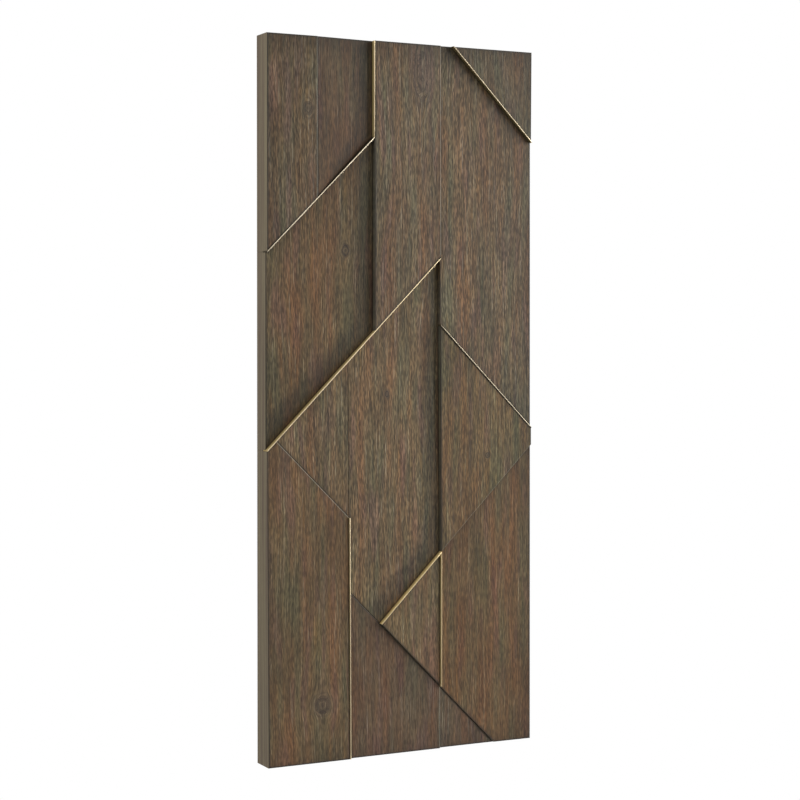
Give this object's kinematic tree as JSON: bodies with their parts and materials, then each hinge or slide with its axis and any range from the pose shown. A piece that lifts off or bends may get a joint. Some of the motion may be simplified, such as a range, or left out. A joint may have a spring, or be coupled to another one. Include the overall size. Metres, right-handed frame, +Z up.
{
  "type": "wooden relief wall panel",
  "caption": "Tall rectangular wall panel of dark stained boards of different thickness, cut on vertical and diagonal lines, with slim brass bars along the raised edges.",
  "frame": {"origin": "centre of the flat back face, which lies against the wall", "axes": "+Z up along the panel's height, +Y into the wall, -Y out of the relief, +X to the right for someone facing it"},
  "size_m": [0.508, 0.0494, 1.2192],
  "materials": {
    "stained_wood": "dark weathered grey-brown stain, satin to matt, with the vertical grain showing through",
    "brass": "plain brass flat bar, brushed and softly polished on the front edge"
  },
  "bodies": {
    "root": {"board_top_left": "stained_wood", "board_top_left_inner": "stained_wood", "board_left_slanted": "stained_wood", "board_top_middle": "stained_wood", "board_top_right_corner": "stained_wood", "board_right_upper": "stained_wood", "board_centre_left": "stained_wood", "board_centre_right": "stained_wood", "board_right_middle": "stained_wood", "board_bottom_left": "stained_wood", "board_lower_triangle": "stained_wood", "board_bottom_middle": "stained_wood", "board_bottom_corner": "stained_wood", "board_bottom_right": "stained_wood", "bar_top_left_rising": "brass", "bar_top_vertical": "brass", "bar_long_rising": "brass", "bar_top_right_falling": "brass", "bar_right_falling": "brass", "bar_bottom_left_vertical": "brass", "bar_lower_rising": "brass", "bar_lower_vertical": "brass"}
  },
  "joints": []
}
